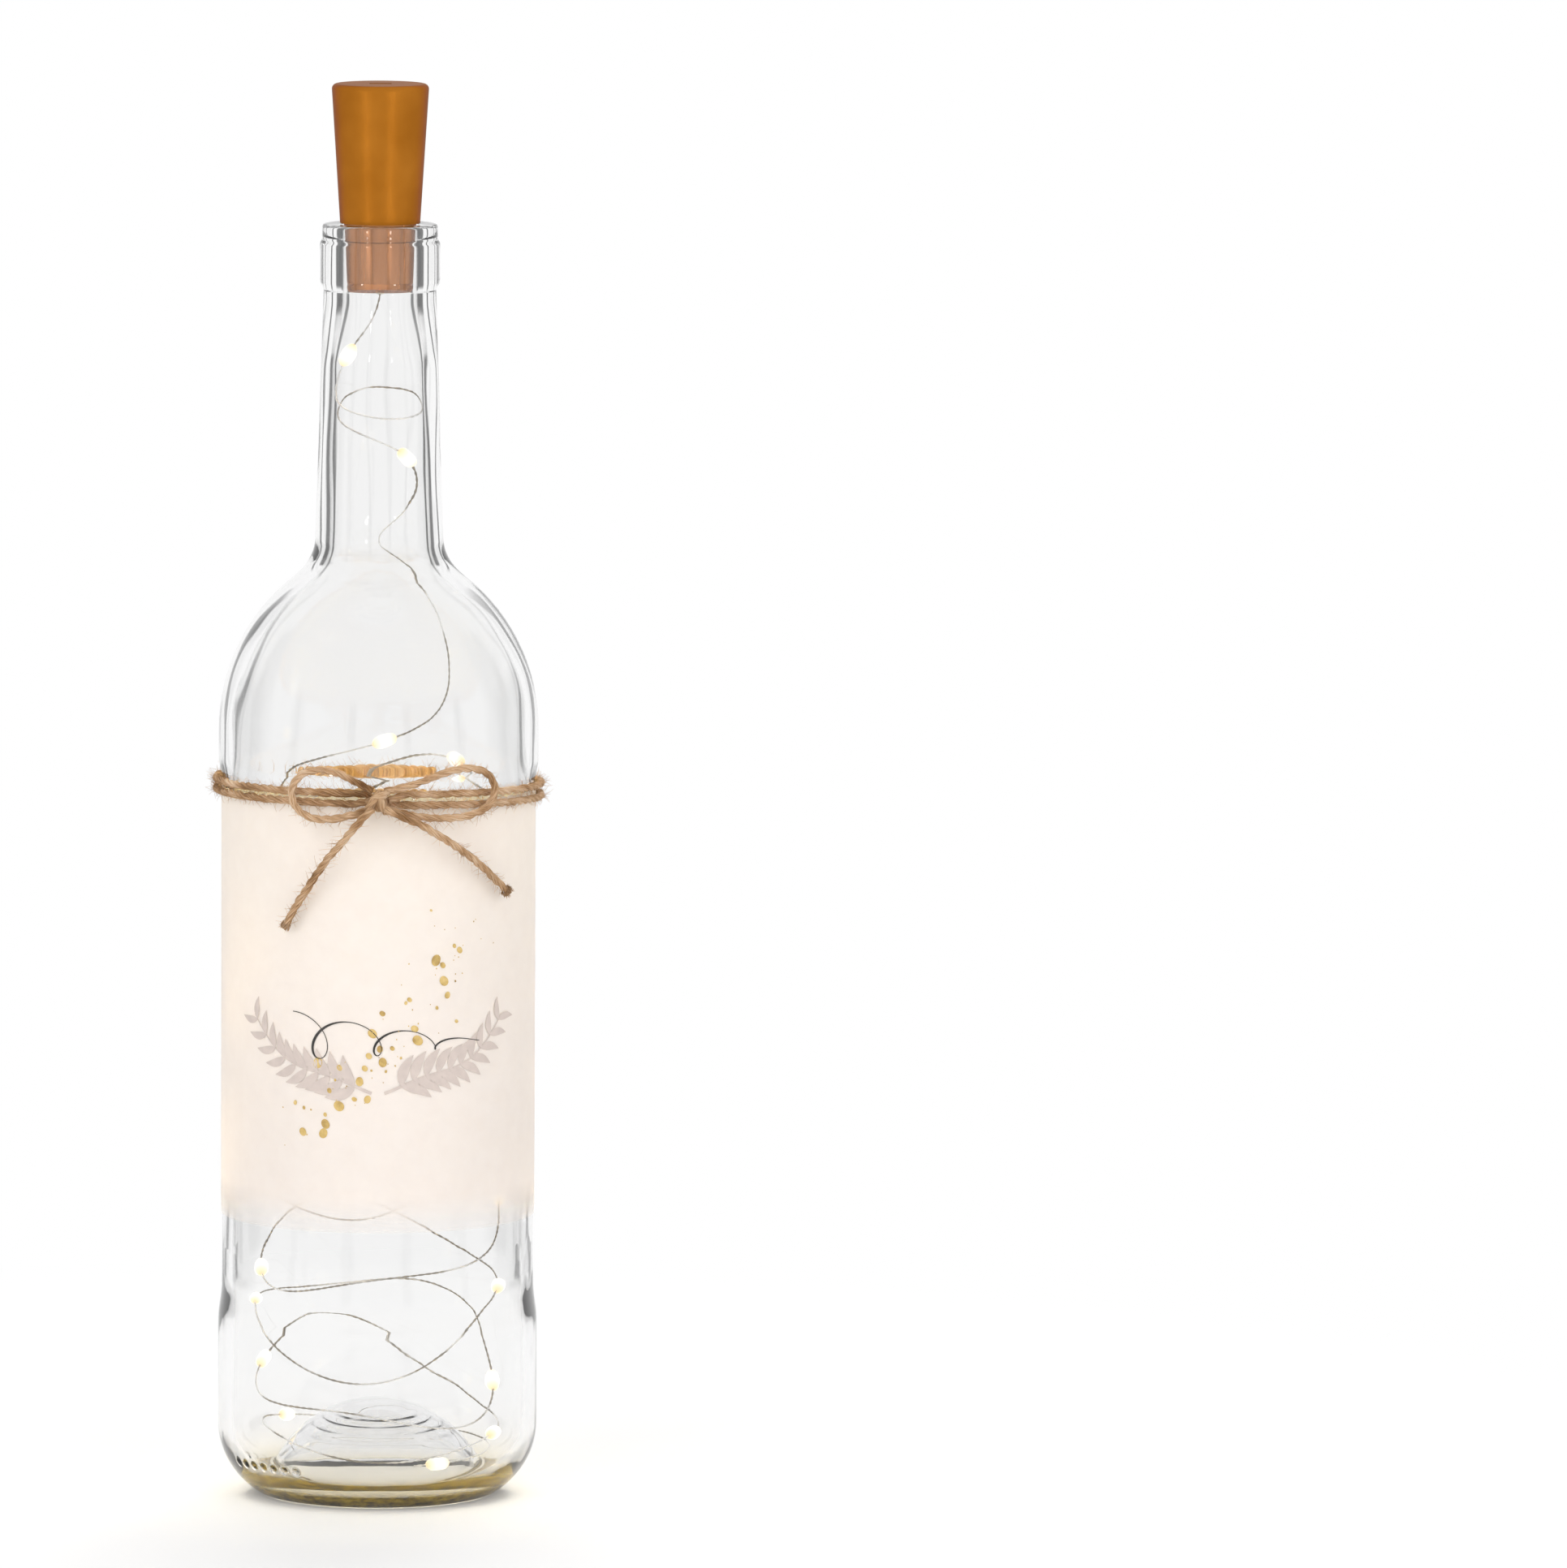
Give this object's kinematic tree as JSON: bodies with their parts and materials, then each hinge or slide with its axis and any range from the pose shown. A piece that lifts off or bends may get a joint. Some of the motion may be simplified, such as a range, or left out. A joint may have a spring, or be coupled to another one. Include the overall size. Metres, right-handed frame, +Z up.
{
  "type": "cork bottle light",
  "caption": "Clear bottle with a frosted film label and a twine bow, lit from inside by a wire of small lamps hung from a battery stopper shaped like a cork.",
  "frame": {"origin": "centre of the bottle's foot, on the surface that it stands on", "axes": "+Z up along the bottle, -Y towards the bow at the front"},
  "size_m": [0.0782, 0.0847, 0.3329],
  "materials": {
    "clear_glass": "polished",
    "label_film": "frosted film",
    "jute": "natural fibre",
    "copper_plastic": "satin metallic",
    "nickel": "plated",
    "cell_steel": "brushed",
    "gasket_nylon": "matte",
    "contact_brass": "bright",
    "switch_black": "matte",
    "resistor_tan": "lacquered",
    "lead_wire": "enamelled copper",
    "seal_resin": "cured resin",
    "light_wire": "bright wire",
    "lamp_resin": "clear lit resin",
    "lamp_chip": "phosphor"
  },
  "bodies": {
    "bottle": {"bottle": "clear_glass", "label_film": "label_film", "twine_wrap": "jute", "twine_knot": "jute", "bow_loop_left": "jute", "bow_loop_right": "jute", "bow_tail_left": "jute", "bow_tail_right": "jute", "light_wire_body": "light_wire", "lamp_drops_body": "lamp_resin", "lamp_chips_body": "lamp_chip"},
    "core": {"battery_carrier": "copper_plastic", "cell_cans": "cell_steel", "cell_caps": "cell_steel", "cell_gaskets": "gasket_nylon", "negative_plate": "nickel", "positive_plate": "nickel", "battery_spring": "nickel", "switch_housing": "switch_black", "switch_terminals": "contact_brass", "jumper_wire": "lead_wire", "resistor": "resistor_tan", "lead_positive": "lead_wire", "lead_negative": "lead_wire", "wire_seal": "seal_resin", "light_wire_neck": "light_wire", "lamp_drops_neck": "lamp_resin", "lamp_chips_neck": "lamp_chip"},
    "sleeve": {"stopper_sleeve": "copper_plastic"},
    "switch": {"switch_knob": "switch_black", "switch_wiper": "contact_brass"}
  },
  "joints": [
    {"name": "stopper_lift", "type": "slide", "parent": "bottle", "child": "core", "axis": [0, 0, 1], "range_m": [0, 0.04], "deforming": ["light_wire_neck", "lamp_drops_neck", "lamp_chips_neck"]},
    {"name": "sleeve_pull", "type": "slide", "parent": "core", "child": "sleeve", "axis": [0, 0, 1], "range_m": [0, 0.04]},
    {"name": "switch_slide", "type": "slide", "parent": "core", "child": "switch", "axis": [1, 0, 0], "range_m": [0, 0.0024]}
  ]
}
